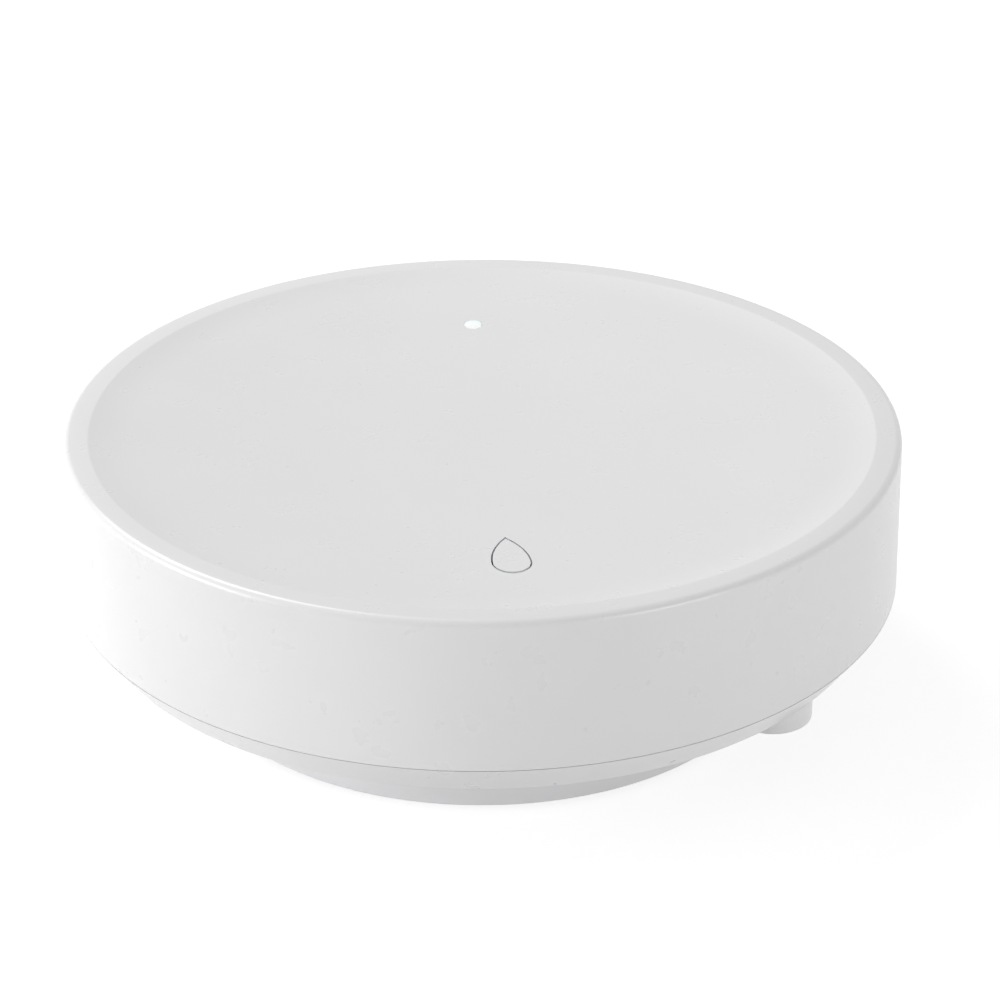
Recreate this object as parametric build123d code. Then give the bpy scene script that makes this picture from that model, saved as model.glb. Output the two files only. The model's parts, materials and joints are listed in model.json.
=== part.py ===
from build123d import *
import math
import os

# Water leak sensor: a round white housing with a dished top, a push button and a light in the
# dish, and a smaller round base that twists off to reach the battery.
# Lengths are in millimetres and angles in degrees. Heights are above the floor, the Z axis is
# the centre line of the housing, and the button is at the front, towards -Y.

# Battery cell, which the rest is built around
cell_diameter = 17.0
cell_length = 34.5
cell_nub_diameter = 6.0
cell_nub_height = 1.0
cell_edge_round = 0.8

# Battery tray
tray_wall = 1.2
tray_roof = 1.0
tray_side_gap = 0.3
tray_roof_gap = 0.2
tray_floor_gap = 2.7
tray_headroom = 0.75
tray_swing_gap = 2.15
tray_flange_reach = 1.8
tray_flange_thickness = 1.0
tray_corner_round = 0.6
clip_reach = 0.6
clip_width = 5.0
clip_height = 1.6
clip_end_gap = 10.1
clip_gap = 0.05

# Cell contacts
contact_sheet = 0.4
contact_play = 0.2
contact_width = 7.0
contact_tab_width = 3.0
contact_foot_length = 1.4
leaf_room = 2.3
leaf_length = 11.0
leaf_end = 0.7

# Base cover
pad_stand = 0.45
base_floor = 1.8
cell_floor_gap = 0.5
base_wall = 3.25
base_stand = 7.6
base_edge_round = 0.2
neck_wall = 1.6

# Twist lock between the base cover and the lower shell
seal_land = 2.4
ring_thickness = 1.4
lock_height = 1.2
lock_play = 0.2
bore_clearance = 0.15
lock_clearance = 0.1
lock_count = 3
lock_angle = 22.0
notch_spare_angle = 2.0
unlock_angle = 25.0
stop_angle = 4.0
stop_play_angle = 0.6
first_lock_azimuth = 60.0

# Lower shell
belly_floor = 2.0
band_height = 3.28
belly_setback = 2.5
belly_edge_round = 0.35
collar_wall = 1.6
tongue_height = 3.6
tongue_wall = 1.8
tongue_clearance = 0.15
parting_gap = 0.06

# Temperature pod under the lower shell
pod_radius = 3.8
pod_wall = 1.2
pod_drop = 2.25
pod_overhang = 0.1
pod_edge_round = 0.4
pod_azimuth = -43.4
bead_radius = 1.2
bead_gap = 0.3
lead_radius = 0.25
lead_spacing = 1.3

# Top shell
shell_wall = 2.0
wall_draft = 0.1
rim_width = 2.55
rim_round = 0.7
dish_depth = 2.5
dish_cove_width = 3.8
dish_cove_rise = 0.68
dish_edge_round = 1.0
ceiling_round = 1.2

# Screws that close the housing, and their posts
screw_count = 4
first_screw_azimuth = 20.0
post_radius = 2.9
post_gap = 0.325
post_rise = 2.15
boss_radius = 2.6
boss_clearance = 0.4
screw_head_radius = 2.1
screw_head_height = 1.3
screw_head_round = 0.4
screw_head_sink = 0.3
screw_head_gap = 0.3
screw_radius = 1.05
screw_hole_gap = 0.3
screw_length = 8.0
screw_tip_bevel = 0.4
screw_pilot_gap = 0.05
screw_pilot_spare = 1.0
drive_width = 0.5
drive_depth = 0.7

# Circuit board and its screws
board_thickness = 1.2
board_gap = 0.6
board_edge_gap = 0.4
board_opening_gap = 0.3
board_post_radius = 2.4
board_screw_head_radius = 1.75
board_screw_head_height = 1.1
board_screw_radius = 0.8
board_screw_hole_gap = 0.2
board_screw_length = 4.5
board_screw_pilot_spare = 0.3

# Seals
seal_play = 0.05
seal_height = 1.3
seal_groove_spare = 0.1
seal_groove_depth = 1.0
base_groove_depth = 1.2
base_groove_lift = 0.5
housing_groove_lift = 1.2
seal_round = 0.3

# Button: a drop that points at the middle of the dish
drop_half_width = 1.68
drop_point_length = 5.42
drop_tail_length = 2.19
drop_inset = 11.3
drop_side_seam = 0.15
drop_end_seam = 0.36
button_flange_reach = 0.7
button_flange_thickness = 0.6
button_flange_gap = 0.3
button_travel = 0.3
button_travel_spare = 0.15
stem_radius = 1.7
stem_clearance = 0.08
stem_groove_depth = 0.55
stem_seal_height = 0.8
stem_seal_lift = 0.3
stem_seal_cover = 0.1
guide_wall = 1.0
guide_side_gap = 0.25
guide_floor = 0.7
guide_tube_wall = 1.1
guide_tube_gap = 0.2

# Tact switch
switch_width = 6.0
switch_height = 3.5
switch_corner_bevel = 0.5
switch_plunger_rise = 0.8
switch_plunger_radius = 1.2
switch_plunger_depth = 1.0
switch_plunger_clearance = 0.06

# Status light
lens_radius = 0.9
lens_clearance = 0.04
lens_inset = 11.45
lens_offset = 1.7
pipe_radius = 1.3
pipe_flange_radius = 2.2
pipe_flange_thickness = 0.9
led_width = 1.6
led_length = 3.2
led_height = 0.9
led_gap = 0.4

# Components on the board
radio_flange_gap = 1.2
radio_length = 18.0
radio_width = 12.0
radio_board_thickness = 0.8
radio_light_gap = 2.1
shield_length = 12.0
shield_width = 10.0
shield_height = 1.9
shield_edge_gap = 1.0
shield_round = 0.4
buzzer_radius = 6.0
buzzer_height = 5.4
buzzer_azimuth = -52.0
buzzer_rim_gap = 1.5
buzzer_hole_radius = 1.0
buzzer_hole_depth = 1.0
capacitor_radius = 3.15
capacitor_height = 5.4
capacitor_foot_height = 1.0
capacitor_foot_bevel = 1.0
capacitor_azimuth = 48.0
capacitor_rim_gap = 3.5
capacitor_neck_depth = 0.35
capacitor_neck_height = 0.8

# Sensing contacts in the base cover
sensor_count = 4
first_sensor_azimuth = 45.0
nut_wall_gap = 2.0
sensor_head_radius = 3.0
sensor_head_height = 0.7
sensor_stand = 0.25
sensor_head_gap = 0.15
sensor_head_round = 0.25
sensor_shank_radius = 1.3
sensor_shank_rise = 1.1
sensor_washer_height = 0.5
sensor_washer_reach = 1.0
sensor_fit = 0.05
nut_width = 4.5
nut_height = 0.8
pin_gap = 0.3
pin_radius = 1.1
pin_tip_radius = 0.6
pin_tip_round = 0.3
pin_tip_length = 2.4
pin_collar_radius = 1.5
pin_collar_height = 0.6

# Foot pads
pad_count = 4
pad_radius = 3.2
pad_sink = 0.5
pad_gap = 0.1
pad_edge_round = 0.25
pad_rim_gap = 2.9

# Coin slot in the middle of the base cover
coin_slot_length = 16.0
coin_slot_width = 2.2
coin_slot_depth = 0.9
coin_slot_edge_bevel = 0.3

# Lock marks under the base, shallow round dimples
mark_radius = 0.6
mark_depth = 0.25
mark_inset = 1.9
mark_azimuth = 250.0

# How far a cutting body reaches past the face that it opens
cut_over = 1.0

# Radii, worked out from the cell outwards
tray_half_width = cell_diameter / 2 + tray_side_gap + tray_wall
tray_inner_length = cell_length + contact_sheet * 2 + contact_play + leaf_room
tray_half_length = tray_inner_length / 2 + tray_wall
cover_inner_radius = math.hypot(tray_half_length, tray_half_width) + tray_swing_gap
base_radius = cover_inner_radius + base_wall
neck_radius = cover_inner_radius + neck_wall
ring_radius = neck_radius + bore_clearance
bore_radius = base_radius + bore_clearance
lock_radius = base_radius - lock_clearance
collar_radius = bore_radius + collar_wall
post_circle = collar_radius + post_gap + post_radius
tongue_inner_radius = post_circle + post_radius + post_gap
tongue_radius = tongue_inner_radius + tongue_wall
wall_inner_radius = tongue_radius + tongue_clearance
body_radius = wall_inner_radius + shell_wall
belly_radius = body_radius - belly_setback
rim_radius = body_radius - wall_draft
dish_radius = body_radius - rim_width
board_radius = tongue_inner_radius - board_edge_gap
pad_circle = base_radius - pad_rim_gap - pad_radius
pod_circle = belly_radius + pod_overhang - pod_radius

# Heights, worked out from the floor upwards
base_bottom = pad_stand
base_floor_top = base_bottom + base_floor
cell_height = base_floor_top + cell_floor_gap + cell_diameter / 2
tray_bottom = base_floor_top + tray_floor_gap
tray_ceiling = cell_height + cell_diameter / 2 + tray_roof_gap
tray_top = tray_ceiling + tray_roof
belly_height = pad_stand + base_stand
belly_floor_top = belly_height + belly_floor
band_top = belly_height + band_height
parting_height = band_top + parting_gap
tongue_top = parting_height + tongue_height
land_top = belly_height + seal_land
ring_bottom = land_top + lock_play
ring_top = ring_bottom + ring_thickness
lock_bottom = ring_top + lock_play
lock_top = lock_bottom + lock_height
board_bottom = lock_top + board_gap
board_top = board_bottom + board_thickness
post_top = belly_floor_top + post_rise
pod_bottom = belly_height - pod_drop

# The dish and the ceiling under it are parts of two spheres about one centre, and the ceiling
# clears both the tray and the button with the switch under it. A steeper cove at the edge of the
# dish meets the rim.
cove_radius = dish_radius - dish_cove_width
cove_depth = dish_depth - dish_cove_rise
dish_sphere_radius = (cove_radius ** 2 + cove_depth ** 2) / (2 * cove_depth)
ceiling_sphere_radius = dish_sphere_radius + shell_wall
drop_circle = dish_radius - drop_inset
flange_near_radius = drop_circle - drop_point_length - button_flange_reach
ceiling_rise = ceiling_sphere_radius - math.sqrt(ceiling_sphere_radius ** 2 - flange_near_radius ** 2)
switch_stack = switch_height + switch_plunger_rise
stem_stack = guide_tube_gap + stem_seal_lift + stem_seal_height + stem_seal_cover
flange_stack = button_travel + button_travel_spare + button_flange_thickness + button_flange_gap
button_room = board_top + switch_stack + stem_stack + flange_stack
ceiling_low = max(tray_top + tray_headroom, button_room - ceiling_rise)
dish_low = ceiling_low + shell_wall
dish_centre_height = dish_low + dish_sphere_radius
body_height = dish_low + dish_depth

# Places of the button, the light and the sensing contacts
lens_circle = dish_radius - lens_inset
nut_corner_radius = nut_width / math.sqrt(3)
sensor_circle = cover_inner_radius - nut_wall_gap - nut_corner_radius
guide_centre = drop_circle + (drop_tail_length - drop_point_length) / 2
guide_inner_radius = (drop_point_length + drop_tail_length) / 2 + button_flange_reach + guide_side_gap

# Heights of what stands on the board
flange_top = board_top + tray_flange_thickness
flange_half_width = tray_half_width + tray_flange_reach
switch_top = board_top + switch_height
plunger_top = switch_top + switch_plunger_rise
radio_top = board_top + radio_board_thickness
radio_place_x = lens_offset - led_length / 2 - radio_light_gap - radio_length / 2
radio_place_y = flange_half_width + radio_flange_gap + radio_width / 2
cell_tip = tray_inner_length / 2 - contact_sheet

# Heights of the screws, the seal grooves and the sensing contacts
screw_seat = belly_height + screw_head_sink + screw_head_height
housing_groove = parting_height + housing_groove_lift
housing_groove_top = housing_groove + seal_height + seal_groove_spare
base_groove = belly_height + base_groove_lift
base_groove_top = base_groove + seal_height + seal_groove_spare
sensor_head_bottom = base_bottom - sensor_stand
sensor_head_top = sensor_head_bottom + sensor_head_height
sensor_recess_top = sensor_head_top + sensor_washer_height
sensor_top = base_floor_top + sensor_shank_rise

# Alignment of bodies that stand on their lower face
STAND = (Align.CENTER, Align.CENTER, Align.MIN)


def dish_height(radius):
    """Height of the dish's surface at a distance from the centre line."""
    return dish_centre_height - math.sqrt(dish_sphere_radius ** 2 - radius ** 2)


def ceiling_height(radius):
    """Height of the surface under the dish at a distance from the centre line."""
    return dish_centre_height - math.sqrt(ceiling_sphere_radius ** 2 - radius ** 2)


# Heights of the button, hung from the ceiling at the point of its flange
button_flange_top = ceiling_height(flange_near_radius) - button_flange_gap
button_flange_bottom = button_flange_top - button_flange_thickness
guide_floor_top = button_flange_bottom - button_travel - button_travel_spare
guide_tube_bottom = plunger_top + guide_tube_gap
stem_groove = guide_tube_bottom + stem_seal_lift
stem_groove_top = stem_groove + stem_seal_height


def on_circle(radius, azimuth):
    """Place at a distance from the centre line, azimuth counted from +X."""
    turn = math.radians(azimuth)
    return radius * math.cos(turn), radius * math.sin(turn)


def azimuths(count, first):
    return [first + 360 / count * step for step in range(count)]


def rod(radius, bottom, top, place=(0, 0)):
    return Pos(place[0], place[1], bottom) * Cylinder(radius, top - bottom, align=STAND)


def tube(outer_radius, inner_radius, bottom, top, place=(0, 0)):
    hole = rod(inner_radius, bottom - cut_over, top + cut_over, place)
    return rod(outer_radius, bottom, top, place) - hole


def block(length, width, bottom, top, place=(0, 0)):
    return Pos(place[0], place[1], bottom) * Box(length, width, top - bottom, align=STAND)


def turned(profile):
    """Solid turned about the centre line from a flat profile of radius and height."""
    return revolve(Plane.XZ * profile, axis=Axis.Z)


def corner_rounded(profile, corner, radius):
    """Profile with the corner nearest to a point rounded."""
    nearest = profile.vertices().sort_by_distance(Vector(corner[0], corner[1]))[0]
    return fillet(nearest, radius)


def ring_sector(outer_radius, inner_radius, bottom, top, azimuth, angle):
    """Part of a ring that spans an angle, centred on an azimuth."""
    points = [(inner_radius, bottom), (outer_radius, bottom), (outer_radius, top), (inner_radius, top)]
    section = Plane.XZ * make_face(Polyline(*points, close=True))
    sector = revolve(section, axis=Axis.Z, revolution_arc=angle)
    return Rot(0, 0, azimuth - angle / 2) * sector


def seal_ring(outer_radius, inner_radius, bottom, top):
    """Soft ring as it lies squeezed in its groove."""
    points = [(inner_radius, bottom), (outer_radius, bottom), (outer_radius, top), (inner_radius, top)]
    section = make_face(Polyline(*points, close=True))
    return turned(fillet(section.vertices(), seal_round))


def screw(head_radius, head_height, radius, length, tip_down):
    """Cross-head screw with the underside of its head at zero and its shank along +Z."""
    head = Pos(0, 0, -head_height) * Cylinder(head_radius, head_height, align=STAND)
    head = fillet(head.edges().sort_by(Axis.Z)[0], screw_head_round)
    shank = Cylinder(radius, length, align=STAND)
    shank = chamfer(shank.edges().sort_by(Axis.Z)[-1], screw_tip_bevel)
    arm = Box(head_radius, drive_width, drive_depth, align=STAND)
    cross = Pos(0, 0, -head_height) * (arm + Rot(0, 0, 90) * arm)
    whole = head + shank - cross
    return Rot(180, 0, 0) * whole if tip_down else whole


def drop_face(side_grow, end_grow):
    """Drop outline that points at the centre line, grown at its sides and at its ends."""
    half_width = drop_half_width + side_grow
    point = drop_point_length + end_grow
    tail_length = drop_tail_length + end_grow
    right = TangentArc((half_width, 0), (0, point), tangent=(0, 1))
    left = TangentArc((-half_width, 0), (0, point), tangent=(0, 1))
    tail = EllipticalCenterArc((0, 0), half_width, tail_length, start_angle=180, arc_size=180)
    return make_face([right, left, tail])


def drop_prism(side_grow, end_grow, bottom, top):
    outline = drop_face(side_grow, end_grow)
    return Pos(0, -drop_circle, bottom) * extrude(outline, top - bottom)


def dish_line():
    """Line of the dish from the centre line to the rim: the sphere, then the cove."""
    cove_height = dish_height(cove_radius)
    slope = (dish_centre_height - cove_height, cove_radius)
    sphere = TangentArc((0, dish_low), (cove_radius, cove_height), tangent=(1, 0))
    cove = TangentArc((cove_radius, cove_height), (dish_radius, body_height), tangent=slope)
    return [sphere, cove]


def dish_void():
    """Space above the dish."""
    above = body_height + cut_over
    sides = Polyline((dish_radius, body_height), (dish_radius, above), (0, above), (0, dish_low))
    return turned(make_face([*dish_line(), *sides.edges()]))


def below_ceiling(piece):
    """The part of a piece that lies under the dish's wall, fitted to it."""
    return piece - shell_blank() - dish_void()


def shell_blank():
    """Top shell with its dish, rim and side wall, before bosses and openings."""
    corner_height = ceiling_height(wall_inner_radius)
    outside = Polyline(
        (dish_radius, body_height),
        (rim_radius, body_height),
        (body_radius, parting_height),
    )
    inside = Polyline(
        (body_radius, parting_height),
        (wall_inner_radius, parting_height),
        (wall_inner_radius, corner_height),
    )
    ceiling = TangentArc((0, ceiling_low), (wall_inner_radius, corner_height), tangent=(1, 0))
    middle = Line((0, ceiling_low), (0, dish_low))
    profile = make_face([*dish_line(), *outside.edges(), *inside.edges(), ceiling, middle])
    profile = corner_rounded(profile, (rim_radius, body_height), rim_round)
    profile = corner_rounded(profile, (dish_radius, body_height), dish_edge_round)
    profile = corner_rounded(profile, (wall_inner_radius, corner_height), ceiling_round)
    return turned(profile)


def screw_places():
    return [on_circle(post_circle, azimuth) for azimuth in azimuths(screw_count, first_screw_azimuth)]


def board_screw_places():
    between = first_screw_azimuth + 180 / screw_count
    return [on_circle(post_circle, azimuth) for azimuth in azimuths(screw_count, between)]


def sensor_places():
    return [on_circle(sensor_circle, azimuth) for azimuth in azimuths(sensor_count, first_sensor_azimuth)]


def lens_place():
    return lens_offset, math.sqrt(lens_circle ** 2 - lens_offset ** 2)


def top_shell():
    """Upper housing: dish, rim, side wall, screw bosses, button opening and light hole."""
    shell = shell_blank()
    for place in screw_places():
        shell += rod(boss_radius, post_top, ceiling_height(post_circle) + shell_wall / 2, place)
    for place in screw_places():
        pilot_top = screw_seat + screw_length + screw_pilot_spare
        shell -= rod(screw_radius + screw_pilot_gap, post_top - cut_over, pilot_top, place)
    shell -= drop_prism(drop_side_seam, drop_end_seam, ceiling_low - cut_over, body_height)
    shell -= rod(lens_radius + lens_clearance, ceiling_low - cut_over, body_height, lens_place())
    return shell


def lower_shell():
    """Lower housing: tapered band, underside, tongue, collar with the lock ring, posts and pod."""
    outline = [
        (bore_radius, belly_height),
        (belly_radius, belly_height),
        (body_radius, band_top),
        (tongue_radius, band_top),
        (tongue_radius, tongue_top),
        (tongue_inner_radius, tongue_top),
        (tongue_inner_radius, belly_floor_top),
        (collar_radius, belly_floor_top),
        (collar_radius, lock_top),
        (bore_radius, lock_top),
    ]
    profile = make_face(Polyline(*outline, close=True))
    profile = corner_rounded(profile, (belly_radius, belly_height), belly_edge_round)
    shell = turned(profile) + temperature_pod() - pod_pocket()
    root = belly_floor_top - belly_floor / 2
    for place in screw_places():
        shell += rod(post_radius, root, post_top, place)
    for place in board_screw_places():
        shell += rod(board_post_radius, root, board_bottom, place)
    for azimuth in azimuths(lock_count, first_lock_azimuth):
        shell += lock_ring_part(azimuth)
    for place in screw_places():
        shell -= rod(screw_head_radius + screw_head_gap, belly_height - cut_over, screw_seat, place)
        shell -= rod(screw_radius + screw_hole_gap, belly_height, post_top + cut_over, place)
    for place in board_screw_places():
        pilot_bottom = board_top - board_screw_length - board_screw_pilot_spare
        shell -= rod(board_screw_radius + screw_pilot_gap, pilot_bottom, board_bottom + cut_over, place)
    groove_radius = tongue_radius - seal_groove_depth
    shell -= tube(tongue_radius + cut_over, groove_radius, housing_groove, housing_groove_top)
    for azimuth in (mark_azimuth, mark_azimuth - unlock_angle):
        place = on_circle(bore_radius + mark_inset, azimuth)
        shell -= rod(mark_radius, belly_height - cut_over, belly_height + mark_depth, place)
    return shell


def lock_ring_part(azimuth):
    """Stretch of the lock ring behind one lug, between two notches, with the stop for that lug."""
    root = bore_radius + collar_wall / 2
    notch_angle = lock_angle + 2 * notch_spare_angle
    middle = azimuth - unlock_angle + 180 / lock_count
    ring = ring_sector(root, ring_radius, ring_bottom, ring_top, middle, 360 / lock_count - notch_angle)
    stop_azimuth = azimuth + lock_angle / 2 + stop_play_angle + stop_angle / 2
    stop_bottom = ring_top - ring_thickness / 2
    return ring + ring_sector(root, ring_radius, stop_bottom, lock_top, stop_azimuth, stop_angle)


def temperature_pod():
    """Round pod under the edge of the housing."""
    place = on_circle(pod_circle, pod_azimuth)
    pod = rod(pod_radius, pod_bottom, belly_floor_top - belly_floor / 2, place)
    return fillet(pod.edges().sort_by(Axis.Z)[0], pod_edge_round)


def pod_pocket():
    """Hollow in the pod, open to the inside of the housing."""
    place = on_circle(pod_circle, pod_azimuth)
    return rod(pod_radius - pod_wall, pod_bottom + pod_wall, belly_floor_top + cut_over, place)


def base_cover():
    """Round base that twists off: floor, wall, seal groove and the neck with its locking lugs."""
    outline = [
        (0, base_bottom),
        (base_radius, base_bottom),
        (base_radius, land_top),
        (neck_radius, land_top),
        (neck_radius, lock_top),
        (cover_inner_radius, lock_top),
        (cover_inner_radius, base_floor_top),
        (0, base_floor_top),
    ]
    profile = make_face(Polyline(*outline, close=True))
    profile = corner_rounded(profile, (base_radius, base_bottom), base_edge_round)
    cover = turned(profile)
    root = cover_inner_radius + neck_wall / 2
    for azimuth in azimuths(lock_count, first_lock_azimuth):
        cover += ring_sector(lock_radius, root, lock_bottom, lock_top, azimuth, lock_angle)
    cover -= tube(base_radius + cut_over, base_radius - base_groove_depth, base_groove, base_groove_top)
    for place in sensor_places():
        recess_radius = sensor_head_radius + sensor_head_gap
        cover -= rod(recess_radius, base_bottom - cut_over, sensor_recess_top, place)
        cover -= rod(sensor_shank_radius + sensor_fit, base_bottom, base_floor_top + cut_over, place)
    for azimuth in azimuths(pad_count, 0):
        place = on_circle(pad_circle, azimuth)
        cover -= rod(pad_radius + pad_gap, base_bottom - cut_over, base_bottom + pad_sink, place)
    mark_place = on_circle(base_radius - mark_inset, mark_azimuth)
    cover -= rod(mark_radius, base_bottom - cut_over, base_bottom + mark_depth, mark_place)
    return cover - coin_slot()


def coin_slot():
    """Slot with round ends and a bevelled mouth, for a coin that turns the base cover."""
    mouth_width = coin_slot_width + 2 * coin_slot_edge_bevel
    mouth_length = coin_slot_length + 2 * coin_slot_edge_bevel
    slot = extrude(SlotOverall(coin_slot_length, coin_slot_width), coin_slot_depth)
    wide = SlotOverall(mouth_length, mouth_width)
    narrow = Pos(0, 0, coin_slot_edge_bevel) * SlotOverall(coin_slot_length, coin_slot_width)
    mouth = loft([wide.face(), narrow.face()])
    below = Pos(0, 0, -cut_over) * extrude(wide, cut_over)
    return Pos(0, 0, base_bottom) * (slot + mouth + below)


def drop_button():
    """Button: the drop that shows in the dish, its flange and its round stem."""
    cap = drop_prism(0, 0, button_flange_bottom, body_height) - dish_void()
    reach = button_flange_reach
    flange = drop_prism(reach, reach, button_flange_bottom, button_flange_top)
    place = (0, -drop_circle)
    stem = rod(stem_radius, plunger_top, button_flange_bottom, place)
    groove_radius = stem_radius - stem_groove_depth
    stem -= tube(stem_radius + cut_over, groove_radius, stem_groove, stem_groove_top, place)
    return cap + flange + stem


def button_seal():
    outer = stem_radius + stem_clearance - seal_play
    inner = stem_radius - stem_groove_depth + seal_play
    return tube(outer, inner, stem_groove + seal_play, stem_groove_top - seal_play, (0, -drop_circle))


def button_guide():
    """Cup fixed under the dish, with a tube that guides the button's stem."""
    place = (0, -guide_centre)
    outer_radius = guide_inner_radius + guide_wall
    rim = ceiling_height(guide_centre + outer_radius) + shell_wall / 2
    cup = rod(outer_radius, guide_floor_top - guide_floor, rim, place)
    cup -= rod(guide_inner_radius, guide_floor_top, rim + cut_over, place)
    cup = below_ceiling(cup)
    stem_place = (0, -drop_circle)
    cup += rod(stem_radius + guide_tube_wall, guide_tube_bottom, guide_floor_top, stem_place)
    stem_bore_radius = stem_radius + stem_clearance
    bore_bottom = guide_tube_bottom - cut_over
    return cup - rod(stem_bore_radius, bore_bottom, guide_floor_top + cut_over, stem_place)


def switch_body():
    """Tact switch under the button, with a well for its plunger."""
    place = (0, -drop_circle)
    body = block(switch_width, switch_width, board_top, switch_top, place)
    body = chamfer(body.edges().filter_by(Axis.Z), switch_corner_bevel)
    well_radius = switch_plunger_radius + switch_plunger_clearance
    well_bottom = switch_top - switch_plunger_depth - button_travel - button_travel_spare
    return body - rod(well_radius, well_bottom, switch_top + cut_over, place)


def switch_plunger():
    return rod(switch_plunger_radius, switch_top - switch_plunger_depth, plunger_top, (0, -drop_circle))


def light_pipe():
    """Clear pipe from the light on the board to its small round face in the dish."""
    place = lens_place()
    flange_bottom = ceiling_height(lens_circle) - pipe_flange_thickness
    flange = below_ceiling(rod(pipe_flange_radius, flange_bottom, dish_height(lens_circle), place))
    face = rod(lens_radius, flange_bottom, body_height, place) - dish_void()
    stalk = rod(pipe_radius, board_top + led_height + led_gap, flange_bottom, place)
    return flange + face + stalk


def status_led():
    return block(led_length, led_width, board_top, board_top + led_height, lens_place())


def housing_seal():
    bottom = housing_groove + seal_groove_spare / 2
    inner = tongue_radius - seal_groove_depth + seal_play
    return seal_ring(wall_inner_radius - seal_play, inner, bottom, bottom + seal_height)


def base_seal():
    bottom = base_groove + seal_groove_spare / 2
    inner = base_radius - base_groove_depth + seal_play
    return seal_ring(bore_radius - seal_play, inner, bottom, bottom + seal_height)


def housing_screws():
    head = (screw_head_radius, screw_head_height)
    one = screw(*head, screw_radius, screw_length, False)
    return Compound(children=[Pos(x, y, screw_seat) * one for x, y in screw_places()])


def board_screws():
    head = (board_screw_head_radius, board_screw_head_height)
    one = screw(*head, board_screw_radius, board_screw_length, True)
    return Compound(children=[Pos(x, y, board_top) * one for x, y in board_screw_places()])


def circuit_board():
    """Round board with an opening for the tray and notches for the screw bosses."""
    board = rod(board_radius, board_bottom, board_top)
    opening_length = 2 * (tray_half_length + board_opening_gap)
    opening_width = 2 * (tray_half_width + board_opening_gap)
    board -= block(opening_length, opening_width, board_bottom - cut_over, board_top + cut_over)
    for place in screw_places():
        board -= rod(boss_radius + boss_clearance, board_bottom - cut_over, board_top + cut_over, place)
    for place in board_screw_places():
        hole_radius = board_screw_radius + board_screw_hole_gap
        board -= rod(hole_radius, board_bottom - cut_over, board_top + cut_over, place)
    return board


def battery_tray():
    """Box that is open below, with a flange on the board and clips under it."""
    box = block(2 * tray_half_length, 2 * tray_half_width, tray_bottom, tray_top)
    box = fillet(box.edges().filter_by(Axis.Z), tray_corner_round)
    flange_length = 2 * (tray_half_length + tray_flange_reach)
    flange = block(flange_length, 2 * flange_half_width, board_top, flange_top)
    box += fillet(flange.edges().filter_by(Axis.Z), tray_corner_round)
    for side in (-1, 1):
        for end in (-1, 1):
            box += tray_clip(side, end * (tray_half_length - clip_end_gap))
    room_width = 2 * (tray_half_width - tray_wall)
    box -= block(tray_inner_length, room_width, tray_bottom - cut_over, tray_ceiling)
    slot_length = 2 * (tray_half_length + cut_over)
    slot_top = flange_top + contact_sheet + contact_play
    slot = block(slot_length, contact_tab_width + 2 * contact_play, flange_top, slot_top)
    return box - slot


def tray_clip(side, place_x):
    """Small wedge on a long wall of the tray, just under the board."""
    top = board_bottom - clip_gap
    bottom = top - clip_height
    wall = tray_half_width - tray_wall / 2
    outside = tray_half_width + clip_reach
    points = [
        (wall, bottom),
        (tray_half_width, bottom),
        (outside, top - clip_reach),
        (outside, top),
        (wall, top),
    ]
    section = Plane.YZ * make_face(Polyline(*points, close=True))
    wedge = Pos(-clip_width / 2, 0, 0) * extrude(section, clip_width)
    return Pos(place_x, 0, 0) * (wedge if side > 0 else mirror(wedge, about=Plane.XZ))


def battery_cell():
    """Cylindrical cell lying along X, its small end at +X."""
    can_end = cell_tip - cell_nub_height
    can_length = cell_length - cell_nub_height
    can = Cylinder(cell_diameter / 2, can_length, align=STAND)
    can = fillet(can.edges().filter_by(GeomType.CIRCLE), cell_edge_round)
    nub = Pos(0, 0, can_length) * Cylinder(cell_nub_diameter / 2, cell_nub_height, align=STAND)
    return Pos(can_end - can_length, 0, cell_height) * Rot(0, 90, 0) * (can + nub)


def contact_frame():
    """Plate inside the tray's +X end wall with a tab over the flange and a foot on the board."""
    plate_middle = cell_tip + contact_sheet / 2
    tab_top = flange_top + contact_sheet
    leg = tray_half_length + tray_flange_reach + contact_play
    plate_bottom = cell_height - contact_width / 2
    plate = block(contact_sheet, contact_width, plate_bottom, flange_top, (plate_middle, 0))
    neck = block(contact_sheet, contact_tab_width, flange_top - contact_play, tab_top, (plate_middle, 0))
    tab_length = leg + contact_sheet - cell_tip
    tab = block(tab_length, contact_tab_width, flange_top, tab_top, (cell_tip + tab_length / 2, 0))
    down = block(contact_sheet, contact_tab_width, board_top, tab_top, (leg + contact_sheet / 2, 0))
    foot_place = (leg + contact_foot_length / 2, 0)
    foot = block(contact_foot_length, contact_tab_width, board_top, board_top + contact_sheet, foot_place)
    return plate + neck + tab + down + foot


def positive_contact():
    return contact_frame()


def negative_contact():
    """The same frame at the other end, with a bowed leaf that presses on the cell."""
    frame = Rot(0, 0, 180) * contact_frame()
    root = -cell_tip
    low = cell_height - leaf_length / 2
    high = cell_height + leaf_length / 2
    outer = ThreePointArc((root, low), (root + leaf_room, cell_height), (root, high))
    inner_crest = root + leaf_room - contact_sheet
    inner = ThreePointArc((root, high - leaf_end), (inner_crest, cell_height), (root, low + leaf_end))
    sides = [Line((root, high), (root, high - leaf_end)), Line((root, low + leaf_end), (root, low))]
    bow = extrude(Plane.XZ * make_face([outer, inner, *sides]), contact_width / 2, both=True)
    back = block(contact_sheet, contact_width, low, high, (root - contact_sheet / 2, 0))
    return frame + bow + back


def radio_board():
    place = (radio_place_x, radio_place_y)
    return block(radio_length, radio_width, board_top, radio_top, place)


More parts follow.
